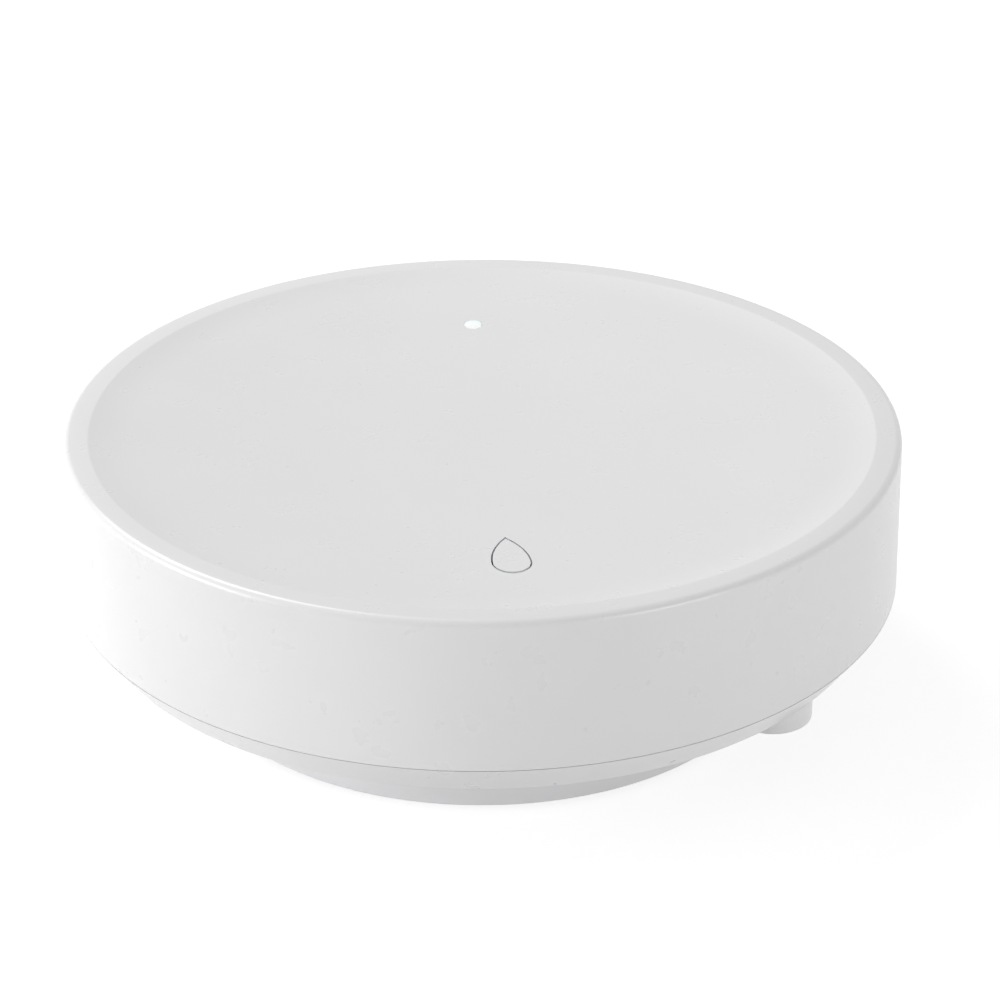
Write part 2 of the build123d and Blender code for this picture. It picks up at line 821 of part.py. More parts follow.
def radio_shield():
    """Metal can over the wireless module's circuit, leaving its aerial end free."""
    shield_x = radio_place_x + (radio_length - shield_length) / 2 - shield_edge_gap
    can = block(shield_length, shield_width, radio_top, radio_top + shield_height, (shield_x, radio_place_y))
    top_edges = can.faces().sort_by(Axis.Z)[-1].edges()
    return fillet(can.edges().filter_by(Axis.Z) + top_edges, shield_round)


def buzzer():
    place = on_circle(board_radius - buzzer_rim_gap - buzzer_radius, buzzer_azimuth)
    top = board_top + buzzer_height
    can = rod(buzzer_radius, board_top, top, place)
    return can - rod(buzzer_hole_radius, top - buzzer_hole_depth, top + cut_over, place)


def storage_capacitor():
    """Upright capacitor: square foot and a round can with a crimped neck."""
    place = on_circle(board_radius - capacitor_rim_gap - capacitor_radius, capacitor_azimuth)
    foot_top = board_top + capacitor_foot_height
    foot = block(2 * capacitor_radius, 2 * capacitor_radius, board_top, foot_top, place)
    foot = chamfer(foot.edges().filter_by(Axis.Z), capacitor_foot_bevel)
    can = rod(capacitor_radius - capacitor_neck_depth, board_top, board_top + capacitor_height, place)
    crimp_radius = capacitor_radius - 2 * capacitor_neck_depth
    crimp_bottom = foot_top + capacitor_neck_depth
    crimp_top = crimp_bottom + capacitor_neck_height
    can -= tube(capacitor_radius + cut_over, crimp_radius, crimp_bottom, crimp_top, place)
    return foot + can


def temperature_probe():
    """Thermistor bead in the pod, on two leads that come down from the board."""
    x, y = on_circle(pod_circle, pod_azimuth)
    bead_height = pod_bottom + pod_wall + bead_gap + bead_radius
    probe = Pos(x, y, bead_height) * Sphere(bead_radius)
    for side in (-1, 1):
        probe += rod(lead_radius, bead_height, board_bottom, (x + side * lead_spacing / 2, y))
    return probe


def floor_contacts():
    """Flat-headed metal contacts that pass through the base cover's floor."""
    contacts = []
    for place in sensor_places():
        head = rod(sensor_head_radius, sensor_head_bottom, sensor_head_top, place)
        head = fillet(head.edges().sort_by(Axis.Z)[0], sensor_head_round)
        shank_root = sensor_head_bottom + sensor_head_round
        contacts.append(head + rod(sensor_shank_radius, shank_root, sensor_top, place))
    return Compound(children=contacts)


def contact_seals():
    outer = sensor_shank_radius + sensor_fit + sensor_washer_reach
    inner = sensor_shank_radius + sensor_fit
    rings = [tube(outer, inner, sensor_head_top, sensor_recess_top, place) for place in sensor_places()]
    return Compound(children=rings)


def contact_nuts():
    nuts = []
    for place in sensor_places():
        nut = extrude(RegularPolygon(nut_corner_radius, 6), nut_height)
        nut = Pos(place[0], place[1], base_floor_top) * nut
        bore = rod(sensor_shank_radius + sensor_fit, base_floor_top - cut_over, sensor_top, place)
        nuts.append(nut - bore)
    return Compound(children=nuts)


def spring_pins():
    """Spring pins that hang from the board and end just above the contacts."""
    pins = []
    tip_bottom = sensor_top + pin_gap
    for place in sensor_places():
        tip = rod(pin_tip_radius, tip_bottom, tip_bottom + pin_tip_length, place)
        tip = fillet(tip.edges().sort_by(Axis.Z)[0], pin_tip_round)
        barrel = rod(pin_radius, tip_bottom + pin_tip_length, board_bottom, place)
        collar = rod(pin_collar_radius, board_bottom - pin_collar_height, board_bottom, place)
        pins.append(tip + barrel + collar)
    return Compound(children=pins)


def foot_pads():
    pads = []
    for azimuth in azimuths(pad_count, 0):
        pad = rod(pad_radius, 0, base_bottom + pad_sink, on_circle(pad_circle, azimuth))
        pads.append(fillet(pad.edges().sort_by(Axis.Z)[0], pad_edge_round))
    return Compound(children=pads)


PIECES = [
    top_shell,
    lower_shell,
    base_cover,
    drop_button,
    button_seal,
    button_guide,
    switch_body,
    switch_plunger,
    light_pipe,
    status_led,
    housing_seal,
    base_seal,
    housing_screws,
    circuit_board,
    board_screws,
    battery_tray,
    battery_cell,
    positive_contact,
    negative_contact,
    radio_board,
    radio_shield,
    buzzer,
    storage_capacitor,
    temperature_probe,
    spring_pins,
    floor_contacts,
    contact_seals,
    contact_nuts,
    foot_pads,
]

os.makedirs("parts", exist_ok=True)
for piece in PIECES:
    export_step(piece(), f"parts/{piece.__name__}.step")
print(f"diameter {2 * body_radius:.2f}, height {body_height:.2f}")
print(f"base diameter {2 * base_radius:.2f}, underside {belly_height:.2f}, seam {parting_height:.2f}")
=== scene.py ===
import bpy
import json
import math
from mathutils import Matrix, Vector


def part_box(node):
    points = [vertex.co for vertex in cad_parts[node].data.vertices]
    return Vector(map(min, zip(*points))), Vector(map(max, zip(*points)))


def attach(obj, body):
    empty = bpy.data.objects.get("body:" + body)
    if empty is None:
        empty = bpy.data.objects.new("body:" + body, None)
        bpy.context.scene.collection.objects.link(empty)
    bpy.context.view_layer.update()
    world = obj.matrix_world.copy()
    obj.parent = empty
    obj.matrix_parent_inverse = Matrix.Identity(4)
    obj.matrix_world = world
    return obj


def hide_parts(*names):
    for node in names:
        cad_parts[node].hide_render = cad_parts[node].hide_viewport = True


# Water leak sensor. The housing, the base cover, the button, the light's lens and the lower shell
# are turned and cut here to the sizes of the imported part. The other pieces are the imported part's
# own and get their finishes here. Lengths are in metres, angles in degrees.

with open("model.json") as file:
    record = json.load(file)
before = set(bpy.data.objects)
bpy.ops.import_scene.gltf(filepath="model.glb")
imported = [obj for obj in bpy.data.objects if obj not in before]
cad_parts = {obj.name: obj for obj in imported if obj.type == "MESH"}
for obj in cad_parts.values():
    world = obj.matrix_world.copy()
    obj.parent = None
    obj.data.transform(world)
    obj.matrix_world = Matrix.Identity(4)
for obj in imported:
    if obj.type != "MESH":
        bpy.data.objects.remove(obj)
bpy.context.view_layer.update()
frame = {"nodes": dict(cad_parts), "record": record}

mm = 0.001

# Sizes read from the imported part
body_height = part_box("top_shell")[1].z
body_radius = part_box("top_shell")[1].x
parting_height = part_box("top_shell")[0].z
screw_head_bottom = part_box("housing_screws")[0].z
tongue_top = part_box("lower_shell")[1].z
base_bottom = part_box("base_cover")[0].z
lock_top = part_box("base_cover")[1].z
board_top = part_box("circuit_board")[1].z
board_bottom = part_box("circuit_board")[0].z

# Top shell
shell_wall = 2.0 * mm
wall_draft = 0.1 * mm
rim_width = 2.55 * mm
rim_round = 0.7 * mm
dish_depth = 2.5 * mm
dish_cove_width = 3.8 * mm
dish_cove_rise = 0.68 * mm
dish_edge_round = 1.0 * mm
ceiling_round = 1.2 * mm
boss_radius = 2.6 * mm
boss_bottom = 12.2 * mm
screw_circle = 32.825 * mm
screw_hole_radius = 1.1 * mm
screw_hole_top = 18.65 * mm
first_screw = 20.0
screw_count = 4

# Lower shell
parting_gap = 0.06 * mm
belly_setback = 2.5 * mm
belly_floor = 2.0 * mm
screw_head_sink = 0.3 * mm
belly_edge_round = 0.35 * mm
bore_radius = 28.0 * mm
collar_radius = 29.6 * mm
tongue_radius = 37.85 * mm
tongue_inner_radius = 36.05 * mm
seal_groove_rise = 1.2 * mm
seal_groove_height = 1.4 * mm
seal_groove_depth = 1.0 * mm
screw_recess_radius = 2.4 * mm
screw_seat = 9.65 * mm
screw_pass_radius = 1.35 * mm
post_radius = 2.9 * mm
post_top = 12.2 * mm
board_post_radius = 2.4 * mm
board_screw_hole_radius = 0.85 * mm
board_screw_hole_bottom = 10.45 * mm
ring_radius = 26.35 * mm
ring_bottom = 10.65 * mm
ring_top = 12.05 * mm
pod_radius = 3.8 * mm
pod_circle = 33.8 * mm
pod_azimuth = -43.4
pod_bottom = 5.8 * mm
pod_edge_round = 0.4 * mm
pod_wall = 1.2 * mm

# Base cover
base_radius = 27.85 * mm
base_edge_round = 0.2 * mm
base_floor = 1.8 * mm
cover_inner_radius = 24.6 * mm
neck_radius = 26.2 * mm
seal_land = 2.4 * mm
lug_radius = 27.75 * mm
lug_bottom = 12.25 * mm
base_groove_rise = 0.5 * mm
base_groove_depth = 1.2 * mm
lug_angle = 22.0
first_lug = 60.0
lug_count = 3
unlock_angle = 25.0
notch_spare_angle = 2.0
stop_angle = 4.0
stop_play_angle = 0.6

# Recesses in the base cover
pad_count = 4
contact_count = 4
first_contact = 45.0
pad_circle = 21.75 * mm
pad_recess_radius = 3.3 * mm
pad_recess_depth = 0.5 * mm
contact_circle = 20.0 * mm
contact_recess_radius = 3.15 * mm
contact_recess_top = 1.4 * mm
contact_hole_radius = 1.35 * mm
coin_slot_length = 16.0 * mm
coin_slot_width = 2.2 * mm
coin_slot_depth = 0.9 * mm
mark_radius = 0.6 * mm
mark_depth = 0.25 * mm
mark_inset = 1.9 * mm
mark_azimuth = 250.0

# Button and the light's lens
drop_half_width = 1.68 * mm
drop_point_length = 5.42 * mm
drop_tail_length = 2.19 * mm
drop_circle = 26.15 * mm
drop_side_seam = 0.15 * mm
drop_end_seam = 0.36 * mm
drop_edge_round = 0.06 * mm
button_flange_reach = 0.7 * mm
button_flange_thickness = 0.6 * mm
button_flange_gap = 0.3 * mm
seal_play = 0.05 * mm
stem_radius = 1.7 * mm
stem_groove_depth = 0.55 * mm
stem_groove_height = 0.8 * mm
lens_radius = 0.9 * mm
lens_gap = 0.04 * mm
lens_offset = 1.7 * mm
lens_circle = 26.0 * mm
lens_edge_round = 0.08 * mm
pipe_radius = 1.3 * mm
pipe_flange_radius = 2.2 * mm
pipe_flange_thickness = 0.9 * mm

# How finely round forms are stepped, and how far cutters reach past what they open
turn_steps = 256
rod_steps = 48
hole_steps = 64
lens_steps = 96
arc_steps = 10
dish_steps = 26
over = 1.0 * mm
merge_distance = 0.002 * mm
tip_merge_distance = 0.01 * mm
fewest_sector_steps = 8
sector_step_angle = 2.0
bevel_steps = 3
drop_curve_steps = 24
smooth_angle = 28.0
sharp_angle = 50.0

# White plastic
housing_level = 0.80
white_tint = 1.012
cloud_share = 0.985
white_grain = 0.0015 * mm

# Camera, lamps and floor
sensor_width = 36.0
focal_length = 139.45
nearest_seen = 0.01
camera_side = -0.033156
camera_back = -0.331561
camera_rise = 0.159673
camera_turn = -6.0
camera_tilt = 63.25
camera_roll = -0.10
lamp_distance = 0.65
world_strength = 0.36
floor_size = 8.0
floor_level = 0.8
floor_shade_level = 0.35
floor_glow = 0.8

# Radii and heights that follow from these sizes
belly_height = screw_head_bottom - screw_head_sink
belly_floor_top = belly_height + belly_floor
belly_radius = body_radius - belly_setback
band_top = parting_height - parting_gap
seal_groove_bottom = parting_height + seal_groove_rise
base_floor_top = base_bottom + base_floor
land_top = belly_height + seal_land
base_groove_bottom = belly_height + base_groove_rise

# The dish and the ceiling under it are parts of two spheres about one centre
dish_radius = body_radius - rim_width
rim_radius = body_radius - wall_draft
wall_inner_radius = body_radius - shell_wall
cove_radius = dish_radius - dish_cove_width
cove_depth = dish_depth - dish_cove_rise
dish_low = body_height - dish_depth
dish_sphere_radius = (cove_radius ** 2 + cove_depth ** 2) / (2 * cove_depth)
ceiling_sphere_radius = dish_sphere_radius + shell_wall
dish_centre_height = dish_low + dish_sphere_radius


def dish_height(radius):
    return dish_centre_height - math.sqrt(dish_sphere_radius ** 2 - radius ** 2)


def ceiling_height(radius):
    return dish_centre_height - math.sqrt(ceiling_sphere_radius ** 2 - radius ** 2)


def on_circle(radius, azimuth):
    turn = math.radians(azimuth)
    return radius * math.cos(turn), radius * math.sin(turn)


def azimuths(count, first):
    return [first + 360 / count * step for step in range(count)]


def deselect():
    bpy.ops.object.select_all(action='DESELECT')


def select_only(piece):
    deselect()
    piece.select_set(True)
    bpy.context.view_layer.objects.active = piece


def edit(piece):
    select_only(piece)
    bpy.ops.object.mode_set(mode='EDIT')
    bpy.ops.mesh.select_mode(type='VERT')
    bpy.ops.mesh.select_all(action='SELECT')


def leave_edit():
    bpy.ops.object.mode_set(mode='OBJECT')


def rounded_outline(corners):
    """Points of a closed outline of radius and height, with its named corners rounded."""
    points = []
    for index, (radius, height, rounding) in enumerate(corners):
        if not rounding:
            points.append(Vector((radius, height)))
            continue
        corner = Vector((radius, height))
        before = Vector(corners[index - 1][:2]) - corner
        after = Vector(corners[(index + 1) % len(corners)][:2]) - corner
        points += corner_arc(corner, before.normalized(), after.normalized(), rounding)
    return points


def corner_arc(corner, before, after, rounding):
    """Arc of a rounded corner between the directions to its two neighbours."""
    half = before.angle(after) / 2
    middle = (before + after).normalized()
    centre = corner + middle * rounding / math.sin(half)
    start = corner + before * rounding / math.tan(half) - centre
    end = corner + after * rounding / math.tan(half) - centre
    sweep = start.angle(end)
    arc = []
    for step in range(arc_steps + 1):
        along = sweep * step / arc_steps
        share_start = math.sin(sweep - along) / math.sin(sweep)
        share_end = math.sin(along) / math.sin(sweep)
        arc.append(centre + start * share_start + end * share_end)
    return arc


def turned(name, points):
    """Closed solid turned about the Z axis from an outline that is drawn by extruding a vertex."""
    deselect()
    bpy.ops.mesh.primitive_plane_add(size=mm)
    piece = bpy.context.object
    piece.name = name
    edit(piece)
    bpy.ops.mesh.merge(type='CENTER')
    bpy.ops.transform.translate(value=(points[0].x, 0, points[0].y))
    for here, there in zip(points, points[1:] + points[:1]):
        step = (there.x - here.x, 0, there.y - here.y)
        bpy.ops.mesh.extrude_vertices_move(TRANSFORM_OT_translate={"value": step})
    bpy.ops.mesh.select_all(action='SELECT')
    bpy.ops.mesh.remove_doubles(threshold=merge_distance)
    bpy.ops.mesh.select_all(action='SELECT')
    bpy.ops.mesh.spin(steps=turn_steps, angle=math.tau, center=(0, 0, 0), axis=(0, 0, 1))
    bpy.ops.mesh.select_all(action='SELECT')
    bpy.ops.mesh.remove_doubles(threshold=merge_distance)
    bpy.ops.mesh.normals_make_consistent(inside=False)
    leave_edit()
    return piece


def rod(radius, bottom, top, place, steps=rod_steps):
    """Round rod that stands on a place, for cutting and joining."""
    deselect()
    middle = (place[0], place[1], (bottom + top) / 2)
    bpy.ops.mesh.primitive_cylinder_add(vertices=steps, radius=radius, depth=top - bottom, location=middle)
    piece = bpy.context.object
    bpy.ops.object.transform_apply(location=True, rotation=True, scale=True)
    return piece


def rounded_rod(radius, bottom, top, place, rounding, steps=lens_steps):
    """Round rod with its lower edge rounded."""
    piece = rod(radius, bottom, top, place, steps)
    edit(piece)
    bpy.ops.mesh.select_all(action='DESELECT')
    leave_edit()
    for edge in piece.data.edges:
        ends = [piece.data.vertices[v].co.z for v in edge.vertices]
        edge.select = max(ends) - bottom < merge_distance
    bpy.ops.object.mode_set(mode='EDIT')
    bpy.ops.mesh.select_mode(type='EDGE')
    bpy.ops.mesh.bevel(offset=rounding, segments=arc_steps, affect='EDGES')
    leave_edit()
    return piece


def combine(piece, tool, way):
    """Adds a closed tool to a piece or cuts it away, then removes the tool."""
    select_only(piece)
    change = piece.modifiers.new("change", 'BOOLEAN')
    change.operation = way
    change.solver = 'EXACT'
    change.object = tool
    bpy.ops.object.modifier_apply(modifier=change.name)
    bpy.data.objects.remove(tool)


def cut(piece, tool):
    combine(piece, tool, 'DIFFERENCE')


def join(piece, tool):
    combine(piece, tool, 'UNION')


def finish_piece(piece, body, node, slot_name, angle=smooth_angle):
    """Smooth shading, material, and the node and body that a piece belongs to."""
    edit(piece)
    bpy.ops.mesh.remove_doubles(threshold=merge_distance / 4)
    leave_edit()
    select_only(piece)
    bpy.ops.object.shade_smooth_by_angle(angle=math.radians(angle))
    piece.data.materials.clear()
    piece.data.materials.append(finishes[slot_name])
    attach(piece, body)
    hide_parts(node)
    return piece


def dish_points():
    """Points of the dish from the centre line to the rim: the sphere, then the steeper cove."""
    radii = [cove_radius * step / dish_steps for step in range(dish_steps + 1)]
    points = [(radius, dish_height(radius)) for radius in radii]
    slope = math.asin(cove_radius / dish_sphere_radius)
    chord = math.atan2(dish_cove_rise, dish_cove_width)
    cove_turn = 2 * (chord - slope)
    cove_arc_radius = math.hypot(dish_cove_rise, dish_cove_width) / (2 * math.sin(cove_turn / 2))
    for step in range(1, arc_steps):
        angle = slope + cove_turn * step / arc_steps
        radius = cove_radius + cove_arc_radius * (math.sin(angle) - math.sin(slope))
        rise = cove_arc_radius * (math.cos(slope) - math.cos(angle))
        points.append((radius, dish_height(cove_radius) + rise))
    return points


def top_shell():
    """Upper housing: dish, cove, flat rim, side wall, ceiling, bosses and its two openings."""
    ceiling_corner = ceiling_height(wall_inner_radius)
    corners = [(radius, height, 0) for radius, height in dish_points()]
    corners += [
        (dish_radius, body_height, dish_edge_round),
        (rim_radius, body_height, rim_round),
        (body_radius, parting_height, 0),
        (wall_inner_radius, parting_height, 0),
        (wall_inner_radius, ceiling_corner, ceiling_round),
    ]
    for step in range(dish_steps):
        radius = (wall_inner_radius - 2 * ceiling_round) * (1 - step / dish_steps)
        corners.append((radius, ceiling_height(radius), 0))
    corners.append((0, ceiling_height(0), 0))
    piece = turned("top_shell_skin", rounded_outline(corners))
    for azimuth in azimuths(screw_count, first_screw):
        place = on_circle(screw_circle, azimuth)
        join(piece, rod(boss_radius, boss_bottom, ceiling_height(screw_circle) + shell_wall / 2, place))
        cut(piece, rod(screw_hole_radius, boss_bottom - over, screw_hole_top, place))
    cut(piece, drop_prism(drop_side_seam, drop_end_seam, ceiling_height(0) - over, body_height + over))
    place = (lens_offset, math.sqrt(lens_circle ** 2 - lens_offset ** 2))
    cut(piece, rod(lens_radius + lens_gap, ceiling_height(0) - over, body_height + over, place, lens_steps))
    return finish_piece(piece, "housing", "top_shell", "housing_white")


def drop_prism(side_grow, end_grow, bottom, top):
    """Upright prism with the drop's outline, drawn as a closed curve and then thickened."""
    half_width = drop_half_width + side_grow
    point = drop_point_length + end_grow
    tail = drop_tail_length + end_grow
    arc_radius = (half_width ** 2 + point ** 2) / (2 * half_width)
    arc_angle = math.asin(point / arc_radius)
    side_handle = 4 / 3 * math.tan(arc_angle / 4) * arc_radius
    round_share = 4 / 3 * (math.sqrt(2) - 1)
    tip_lean = Vector((math.sin(arc_angle), -math.cos(arc_angle)))
    deselect()
    bpy.ops.curve.primitive_bezier_circle_add(radius=half_width, location=(0, -drop_circle, bottom))
    outline = bpy.context.object
    spline = outline.data.splines[0]
    spline.resolution_u = drop_curve_steps
    right_handle = Vector((0, point)) + tip_lean * side_handle
    left_handle = Vector((0, point)) + Vector((-tip_lean.x, tip_lean.y)) * side_handle
    places = [
        ((-half_width, 0), (-half_width, -tail * round_share), (-half_width, side_handle)),
        ((0, point), left_handle, right_handle),
        ((half_width, 0), (half_width, side_handle), (half_width, -tail * round_share)),
        ((0, -tail), (half_width * round_share, -tail), (-half_width * round_share, -tail)),
    ]
    for knot, (place, before, after) in zip(spline.bezier_points, places):
        knot.handle_left_type = 'FREE'
        knot.handle_right_type = 'FREE'
        knot.co = (*place, 0)
        knot.handle_left = (*before, 0)
        knot.handle_right = (*after, 0)
    outline.data.dimensions = '2D'
    outline.data.fill_mode = 'BOTH'
    bpy.ops.object.convert(target='MESH')
    piece = bpy.context.object
    bpy.ops.object.transform_apply(location=True, rotation=True, scale=True)
    edit(piece)
    bpy.ops.mesh.remove_doubles(threshold=merge_distance / 4)
    bpy.ops.mesh.extrude_region_move(TRANSFORM_OT_translate={"value": (0, 0, top - bottom)})
    bpy.ops.mesh.select_all(action='SELECT')
    bpy.ops.mesh.normals_make_consistent(inside=False)
    leave_edit()
    return piece


def under_dish():
    """Solid that fills the space under the dish's surface, to trim what ends in the dish."""
    corners = [(radius, height, 0) for radius, height in dish_points()]
    corners += [(dish_radius, board_top, 0), (0, board_top, 0)]
    return turned("under_dish", rounded_outline(corners))


def drop_button():
    """Button: the drop that shows in the dish, its flange and its grooved stem."""
    stem_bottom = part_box("drop_button")[0].z
    seal_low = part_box("button_seal")[0].z - seal_play
    near_point = drop_circle - drop_point_length - button_flange_reach
    flange_top = ceiling_height(near_point) - button_flange_gap
    flange_bottom = flange_top - button_flange_thickness
    flange_middle = flange_bottom + button_flange_thickness / 2
    piece = drop_prism(0, 0, flange_middle, body_height)
    piece.name = "drop_button_cap"
    combine(piece, under_dish(), 'INTERSECT')
    edges_rounded(piece, drop_edge_round)
    edit(piece)
    bpy.ops.mesh.remove_doubles(threshold=tip_merge_distance)
    leave_edit()
    join(piece, drop_prism(button_flange_reach, button_flange_reach, flange_bottom, flange_top))
    place = (0, -drop_circle)
    join(piece, rod(stem_radius, stem_bottom, flange_middle, place))
    groove = rod(stem_radius + over, seal_low, seal_low + stem_groove_height, place)
    core = rod(stem_radius - stem_groove_depth, seal_low - over, seal_low + stem_groove_height + over, place)
    cut(groove, core)
    cut(piece, groove)
    return finish_piece(piece, "button", "drop_button", "button_white")


def edges_rounded(piece, rounding):
    """Rounds the sharp edges of a piece."""
    select_only(piece)
    soft = piece.modifiers.new("edge", 'BEVEL')
    soft.width = rounding
    soft.segments = bevel_steps
    soft.limit_method = 'ANGLE'
    soft.angle_limit = math.radians(sharp_angle)
    bpy.ops.object.modifier_apply(modifier=soft.name)


def lens():
    """Light pipe: milky lens flush with the dish, its flange and the stalk over the light."""
    stalk_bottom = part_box("light_pipe")[0].z
    place = (lens_offset, math.sqrt(lens_circle ** 2 - lens_offset ** 2))
    flange_bottom = ceiling_height(lens_circle) - pipe_flange_thickness
    piece = rod(lens_radius, flange_bottom, body_height, place, lens_steps)
    piece.name = "lens"
    combine(piece, under_dish(), 'INTERSECT')
    edges_rounded(piece, lens_edge_round)
    join(piece, rod(pipe_flange_radius, flange_bottom, ceiling_height(lens_circle), place))
    join(piece, rod(pipe_radius, stalk_bottom, flange_bottom + pipe_flange_thickness / 2, place))
    return finish_piece(piece, "housing", "light_pipe", "lens_clear")


def sector(outer, inner, bottom, top, azimuth, angle):
    """Part of a ring between two radii and two heights, centred on an azimuth."""
    steps = max(fewest_sector_steps, round(angle / sector_step_angle))
    deselect()
    bpy.ops.mesh.primitive_plane_add(size=1)
    piece = bpy.context.object
    piece.name = "sector"
    edit(piece)
    bpy.ops.transform.resize(value=(outer - inner, top - bottom, 1))
    bpy.ops.transform.rotate(value=math.radians(90), orient_axis='X', center_override=(0, 0, 0))
    bpy.ops.transform.translate(value=((outer + inner) / 2, 0, (bottom + top) / 2))
    leave_edit()
    start = Matrix.Rotation(math.radians(azimuth - angle / 2), 4, 'Z')
    piece.data.transform(start)
    edit(piece)
    bpy.ops.mesh.spin(steps=steps, angle=-math.radians(angle), center=(0, 0, 0), axis=(0, 0, 1))
    bpy.ops.mesh.select_all(action='SELECT')
    bpy.ops.mesh.normals_make_consistent(inside=False)
    leave_edit()
    return piece


def lower_shell():
    """Lower housing: tapered band, underside, tongue with its groove, collar, posts and pod."""
    groove_radius = tongue_radius - seal_groove_depth
    corners = [
        (bore_radius, belly_height, 0),
        (belly_radius, belly_height, belly_edge_round),
        (body_radius, band_top, 0),
        (tongue_radius, band_top, 0),
        (tongue_radius, seal_groove_bottom, 0),
        (groove_radius, seal_groove_bottom, 0),
        (groove_radius, seal_groove_bottom + seal_groove_height, 0),
        (tongue_radius, seal_groove_bottom + seal_groove_height, 0),
        (tongue_radius, tongue_top, 0),
        (tongue_inner_radius, tongue_top, 0),
        (tongue_inner_radius, belly_floor_top, 0),
        (collar_radius, belly_floor_top, 0),
        (collar_radius, lock_top, 0),
        (bore_radius, lock_top, 0),
    ]
    piece = turned("lower_shell_skin", rounded_outline(corners))
    root = (belly_height + belly_floor_top) / 2
    pod_place = on_circle(pod_circle, pod_azimuth)
    join(piece, rounded_rod(pod_radius, pod_bottom, root, pod_place, pod_edge_round))
    cut(piece, rod(pod_radius - pod_wall, pod_bottom + pod_wall, belly_floor_top + over, pod_place))
    for azimuth in azimuths(screw_count, first_screw):
        place = on_circle(screw_circle, azimuth)
        join(piece, rod(post_radius, root, post_top, place))
        cut(piece, rod(screw_recess_radius, belly_height - over, screw_seat, place, hole_steps))
        cut(piece, rod(screw_pass_radius, belly_height, post_top + over, place))
    for azimuth in azimuths(screw_count, first_screw + 180 / screw_count):
        place = on_circle(screw_circle, azimuth)
        join(piece, rod(board_post_radius, root, board_bottom, place))
        cut(piece, rod(board_screw_hole_radius, board_screw_hole_bottom, board_bottom + over, place))
    ring_root = (bore_radius + collar_radius) / 2
    notch = lug_angle + 2 * notch_spare_angle
    for azimuth in azimuths(lug_count, first_lug):
        middle = azimuth - unlock_angle + 180 / lug_count
        join(piece, sector(ring_root, ring_radius, ring_bottom, ring_top, middle, 360 / lug_count - notch))
        stop = azimuth + lug_angle / 2 + stop_play_angle + stop_angle / 2
        join(piece, sector(ring_root, ring_radius, ring_top - over / 2, lock_top, stop, stop_angle))
    for azimuth in (mark_azimuth, mark_azimuth - unlock_angle):
        place = on_circle(bore_radius + mark_inset, azimuth)
        cut(piece, rod(mark_radius, belly_height - over, belly_height + mark_depth, place))
    return finish_piece(piece, "housing", "lower_shell", "housing_white")


def base_cover():
    """Base that twists off: floor with its recesses, wall with the seal groove, neck and lugs."""
    groove_radius = base_radius - base_groove_depth
    corners = [
        (0, base_bottom, 0),
        (base_radius, base_bottom, base_edge_round),
        (base_radius, base_groove_bottom, 0),
        (groove_radius, base_groove_bottom, 0),
        (groove_radius, base_groove_bottom + seal_groove_height, 0),
        (base_radius, base_groove_bottom + seal_groove_height, 0),
        (base_radius, land_top, 0),
        (neck_radius, land_top, 0),
        (neck_radius, lock_top, 0),
        (cover_inner_radius, lock_top, 0),
        (cover_inner_radius, base_floor_top, 0),
        (0, base_floor_top, 0),
    ]
    piece = turned("base_cover_skin", rounded_outline(corners))
    lug_root = (neck_radius + cover_inner_radius) / 2
    for azimuth in azimuths(lug_count, first_lug):
        join(piece, sector(lug_radius, lug_root, lug_bottom, lock_top, azimuth, lug_angle))
    for azimuth in azimuths(contact_count, first_contact):
        place = on_circle(contact_circle, azimuth)
        cut(piece, rod(contact_recess_radius, base_bottom - over, contact_recess_top, place, hole_steps))
        cut(piece, rod(contact_hole_radius, base_bottom, base_floor_top + over, place))
    for azimuth in azimuths(pad_count, 0):
        place = on_circle(pad_circle, azimuth)
        recess_top = base_bottom + pad_recess_depth
        cut(piece, rod(pad_recess_radius, base_bottom - over, recess_top, place, hole_steps))
    place = on_circle(base_radius - mark_inset, mark_azimuth)
    cut(piece, rod(mark_radius, base_bottom - over, base_bottom + mark_depth, place))
    cut(piece, coin_slot())
    return finish_piece(piece, "base", "base_cover", "base_white")


def coin_slot():
    """Cutter for the coin slot: a bar with round ends."""
    end = coin_slot_length / 2 - coin_slot_width / 2
    top = base_bottom + coin_slot_depth
    deselect()
    bpy.ops.mesh.primitive_cube_add(size=1)
    piece = bpy.context.object
    piece.name = "coin_slot"
    edit(piece)
    bpy.ops.transform.resize(value=(2 * end, coin_slot_width, coin_slot_depth + over))
    bpy.ops.transform.translate(value=(0, 0, top - (coin_slot_depth + over) / 2))
    leave_edit()
    for side in (-1, 1):
        join(piece, rod(coin_slot_width / 2, base_bottom - over, top, (side * end, 0)))
    return piece


